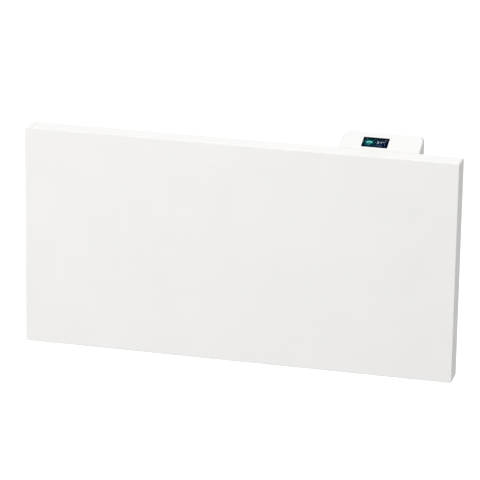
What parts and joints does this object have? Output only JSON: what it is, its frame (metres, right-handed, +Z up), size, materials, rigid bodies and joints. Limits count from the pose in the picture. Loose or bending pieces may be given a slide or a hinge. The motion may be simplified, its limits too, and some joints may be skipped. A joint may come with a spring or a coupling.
{
  "type": "wall panel convector heater",
  "caption": "Flat white electric panel heater on a wall bracket: folded steel front, control module with a sloping top and a small colour display looking over its upper edge.",
  "frame": {"origin": "centre of the wall bracket's screw pattern, on the wall plane", "axes": "+X right as seen from the room, +Y into the wall, +Z up"},
  "size_m": [0.78, 0.093, 0.4183],
  "materials": {
    "white_steel": "white powder coat",
    "casing_steel": "white powder coat, thinner",
    "zinc_steel": "zinc plated",
    "screw_steel": "bright zinc",
    "shield_steel": "aluminised",
    "fin_aluminium": "extruded, plain",
    "rod_steel": "heat tinted",
    "bush_ceramic": "unglazed",
    "live_silicone": "brown silicone",
    "neutral_silicone": "blue silicone",
    "earth_silicone": "green and yellow silicone",
    "stud_brass": "plain",
    "clip_nylon": "natural nylon",
    "black_rubber": "moulded",
    "module_plastic": "fine texture, white",
    "display_glass": "clear, flat",
    "display_film": "dark",
    "board_laminate": "green solder mask",
    "ribbon_vinyl": "grey",
    "relay_plastic": "blue",
    "supply_resin": "black resin",
    "capacitor_sleeve": "dark sleeve",
    "terminal_plastic": "green",
    "gland_nylon": "white nylon",
    "sensor_plastic": "white",
    "switch_plastic": "black",
    "key_plastic": "black",
    "rivet_aluminium": "plain",
    "pin_steel": "bright",
    "cam_zinc": "die cast zinc",
    "knob_nylon": "white nylon"
  },
  "bodies": {
    "wall_bracket": {"bracket_upright_right": "zinc_steel", "bracket_upright_left": "zinc_steel", "crossbar_upper": "zinc_steel", "crossbar_lower": "zinc_steel", "bracket_rivets": "rivet_aluminium", "rest_buffers": "black_rubber"},
    "heater": {"front_panel": "white_steel", "rear_casing": "casing_steel", "element_bracket_right": "zinc_steel", "element_bracket_left": "zinc_steel", "hanger_right": "zinc_steel", "hanger_left": "zinc_steel", "keeper_left": "zinc_steel", "keeper_right": "zinc_steel", "casing_screws": "screw_steel", "module_screws": "screw_steel", "cover_screws": "screw_steel", "display_screws": "screw_steel", "heat_shield": "shield_steel", "heating_element": "fin_aluminium", "heating_rod": "rod_steel", "element_terminals": "rod_steel", "element_bushes": "bush_ceramic", "overheat_cutout": "bush_ceramic", "live_wire": "live_silicone", "link_wire": "live_silicone", "neutral_wire": "neutral_silicone", "earth_wire": "earth_silicone", "earth_stud": "stud_brass", "wire_clips": "clip_nylon", "cable_grommet": "black_rubber", "module_base": "module_plastic", "module_cover": "module_plastic", "display_window": "display_glass", "display_panel": "display_film", "display_board": "board_laminate", "power_board": "board_laminate", "ribbon_cable": "ribbon_vinyl", "relay": "relay_plastic", "power_supply": "supply_resin", "board_capacitors": "capacitor_sleeve", "terminal_block": "terminal_plastic", "cable_gland": "gland_nylon", "gland_lock_nut": "gland_nylon", "gland_cap": "gland_nylon", "room_sensor": "sensor_plastic", "rocker_housing": "switch_plastic", "hinge_pin_right": "pin_steel", "hinge_pin_left": "pin_steel"},
    "lock_left": {"lock_cam_left": "cam_zinc", "lock_knob_left": "knob_nylon"},
    "lock_right": {"lock_cam_right": "cam_zinc", "lock_knob_right": "knob_nylon"},
    "switch_key": {"rocker_key": "key_plastic"}
  },
  "joints": [
    {"name": "heater_tilt", "type": "hinge", "parent": "wall_bracket", "child": "heater", "pos_m": [0, -0.019, -0.13], "axis": [1, 0, 0], "range_deg": [0, 15]},
    {"name": "lock_left_turn", "type": "hinge", "parent": "wall_bracket", "child": "lock_left", "pos_m": [-0.14, -0.015, 0.16], "axis": [0, 0, 1], "range_deg": [0, 90]},
    {"name": "lock_right_turn", "type": "hinge", "parent": "wall_bracket", "child": "lock_right", "pos_m": [0.14, -0.015, 0.16], "axis": [0, 0, -1], "range_deg": [0, 90]},
    {"name": "switch_rock", "type": "hinge", "parent": "heater", "child": "switch_key", "pos_m": [0.311, -0.0165, 0.136], "axis": [0, -1, 0], "range_deg": [0, 20]}
  ]
}
